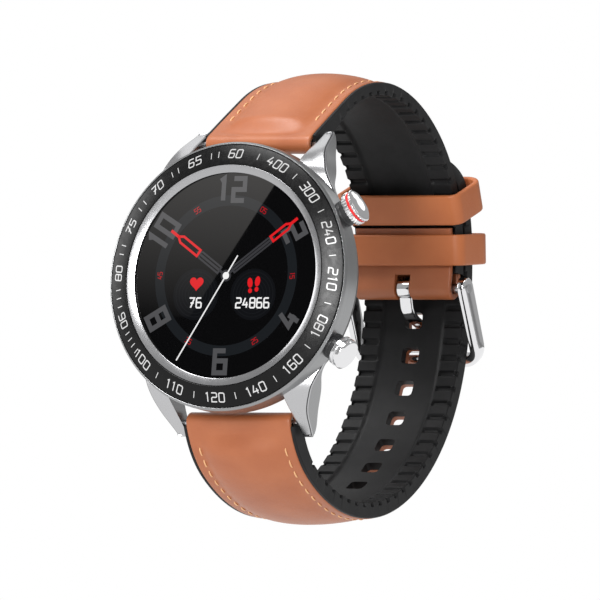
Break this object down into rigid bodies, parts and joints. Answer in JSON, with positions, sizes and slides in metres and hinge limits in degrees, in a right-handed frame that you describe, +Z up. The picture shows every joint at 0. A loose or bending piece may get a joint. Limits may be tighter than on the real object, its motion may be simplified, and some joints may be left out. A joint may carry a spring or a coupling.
{
  "type": "smartwatch",
  "caption": "Round smartwatch with a scaled bezel, a crown and a pusher, buckled shut on a leather and rubber strap.",
  "frame": {"origin": "centre of the wrist opening, 35 mm behind the bezel's outer edge", "axes": "+X towards the crown's side (3 o'clock), -Y out of the face, +Z up; 12 o'clock leans 8.1 degrees back from +Z"},
  "size_m": [0.0473, 0.0738, 0.0745],
  "materials": {
    "steel_brushed": "circular brushed",
    "steel_polished": "mirror polished",
    "bezel_black": "satin ceramic black with white markings",
    "cover_glass": "flat polished",
    "display_black": "glossy black, lit display",
    "case_black": "fine matte moulded",
    "rubber_black": "matte silicone rubber",
    "leather_tan": "smooth semi-gloss tan leather, cream stitching",
    "accent_red": "gloss red",
    "contact_gold": "gold plated",
    "board_green": "solder mask",
    "cell_grey": "foil"
  },
  "bodies": {
    "case": {"mid_case": "steel_brushed", "bezel_ring": "bezel_black", "display_ring": "steel_polished", "cover_glass": "cover_glass", "display_panel": "display_black", "inner_frame": "case_black", "main_board": "board_green", "battery": "cell_grey", "vibration_motor": "steel_brushed", "speaker": "case_black", "sensor_board": "board_green", "sensor_module": "case_black", "case_gasket": "rubber_black", "back_case": "case_black", "sensor_window": "display_black", "charging_pin_1": "contact_gold", "charging_pin_2": "contact_gold", "case_screw_1": "steel_polished", "case_screw_2": "steel_polished", "case_screw_3": "steel_polished", "case_screw_4": "steel_polished", "crown_collar": "case_black", "crown_switch": "case_black", "pusher_collar": "case_black", "pusher_switch": "case_black", "upper_bar_tube": "steel_brushed", "lower_bar_tube": "steel_brushed"},
    "crown_slide": {"crown_clip": "steel_brushed", "crown_seal": "rubber_black"},
    "crown": {"crown_stem": "steel_brushed", "crown_head": "steel_polished", "crown_red_ring": "accent_red", "crown_cap": "steel_polished"},
    "pusher": {"pusher_stem": "steel_brushed", "pusher_seal": "rubber_black", "pusher_clip": "steel_brushed", "pusher_cap": "steel_polished"},
    "upper_left_pin": {"upper_bar_pin_left": "steel_brushed"},
    "upper_right_pin": {"upper_bar_pin_right": "steel_brushed"},
    "lower_left_pin": {"lower_bar_pin_left": "steel_brushed"},
    "lower_right_pin": {"lower_bar_pin_right": "steel_brushed"},
    "upper_strap_root": {"upper_lining_near_case": "rubber_black", "upper_leather_near_case": "leather_tan"},
    "upper_strap_end": {"upper_lining_near_buckle": "rubber_black", "upper_leather_near_buckle": "leather_tan", "fixed_keeper": "leather_tan"},
    "free_keeper": {"free_keeper": "leather_tan"},
    "buckle_frame": {"buckle_frame": "steel_polished", "buckle_bar": "steel_polished"},
    "buckle_tongue": {"buckle_tongue": "steel_polished"},
    "lower_strap_root": {"lower_lining_near_case": "rubber_black", "lower_leather_near_case": "leather_tan"},
    "tail": {"tail_lining": "rubber_black", "tail_leather": "leather_tan"}
  },
  "joints": [
    {"name": "crown_push", "type": "slide", "parent": "case", "child": "crown_slide", "axis": [-0.8788, -0.0672, -0.4724], "range_m": [0, 0.0005], "stiffness_N_per_m": 900, "springref_m": -0.0003},
    {"name": "crown_turn", "type": "hinge", "parent": "crown_slide", "child": "crown", "pos_m": [0.01758, -0.03034, 0.01396], "axis": [0.8788, 0.0672, 0.4724], "continuous": true},
    {"name": "pusher_push", "type": "slide", "parent": "case", "child": "pusher", "axis": [-0.866, 0.0705, 0.495], "range_m": [0, 0.0005], "stiffness_N_per_m": 900, "springref_m": -0.0003},
    {"name": "upper_left_pin_slide", "type": "slide", "parent": "case", "child": "upper_left_pin", "axis": [1, 0, 0], "range_m": [0, 0.0011], "stiffness_N_per_m": 200, "springref_m": -0.0005},
    {"name": "upper_right_pin_slide", "type": "slide", "parent": "case", "child": "upper_right_pin", "axis": [-1, 0, 0], "range_m": [0, 0.0011], "stiffness_N_per_m": 200, "springref_m": -0.0005},
    {"name": "lower_left_pin_slide", "type": "slide", "parent": "case", "child": "lower_left_pin", "axis": [1, 0, 0], "range_m": [0, 0.0011], "stiffness_N_per_m": 200, "springref_m": -0.0005},
    {"name": "lower_right_pin_slide", "type": "slide", "parent": "case", "child": "lower_right_pin", "axis": [-1, 0, 0], "range_m": [0, 0.0011], "stiffness_N_per_m": 200, "springref_m": -0.0005},
    {"name": "upper_strap_hinge", "type": "hinge", "parent": "case", "child": "upper_strap_root", "pos_m": [0, -0.02278, 0.02728], "axis": [1, 0, 0], "range_deg": [-5, 5], "stiffness_Nm_per_rad": 1.5},
    {"name": "upper_strap_flex", "type": "hinge", "parent": "upper_strap_root", "child": "upper_strap_end", "pos_m": [0, 0.00128, 0.03691], "axis": [1, 0, 0], "range_deg": [-3.5, 3.5], "stiffness_Nm_per_rad": 0.5},
    {"name": "free_keeper_slide", "type": "hinge", "parent": "upper_strap_end", "child": "free_keeper", "pos_m": [0, 0.00164, 0.0087], "axis": [1, 0, 0], "range_deg": [-0.5, 8]},
    {"name": "buckle_frame_hinge", "type": "hinge", "parent": "upper_strap_end", "child": "buckle_frame", "pos_m": [0, 0.02758, 0.00281], "axis": [1, 0, 0], "range_deg": [0, 3]},
    {"name": "buckle_tongue_hinge", "type": "hinge", "parent": "buckle_frame", "child": "buckle_tongue", "pos_m": [0, 0.02758, 0.00281], "axis": [1, 0, 0], "range_deg": [0, 2.5]},
    {"name": "lower_strap_hinge", "type": "hinge", "parent": "case", "child": "lower_strap_root", "pos_m": [0, -0.02949, -0.01984], "axis": [1, 0, 0], "range_deg": [-5.2, 5.2], "stiffness_Nm_per_rad": 0.5},
    {"name": "tail_flex", "type": "hinge", "parent": "lower_strap_root", "child": "tail", "pos_m": [0, -0.00975, -0.03452], "axis": [1, 0, 0], "range_deg": [-3.5, 3.5], "stiffness_Nm_per_rad": 0.5}
  ],
  "couplings": [
    {"joint": "upper_strap_flex", "follows": "upper_strap_hinge", "ratio": -0.6545},
    {"joint": "lower_strap_hinge", "follows": "upper_strap_hinge", "ratio": 1.0259},
    {"joint": "tail_flex", "follows": "upper_strap_hinge", "ratio": -0.6804}
  ]
}
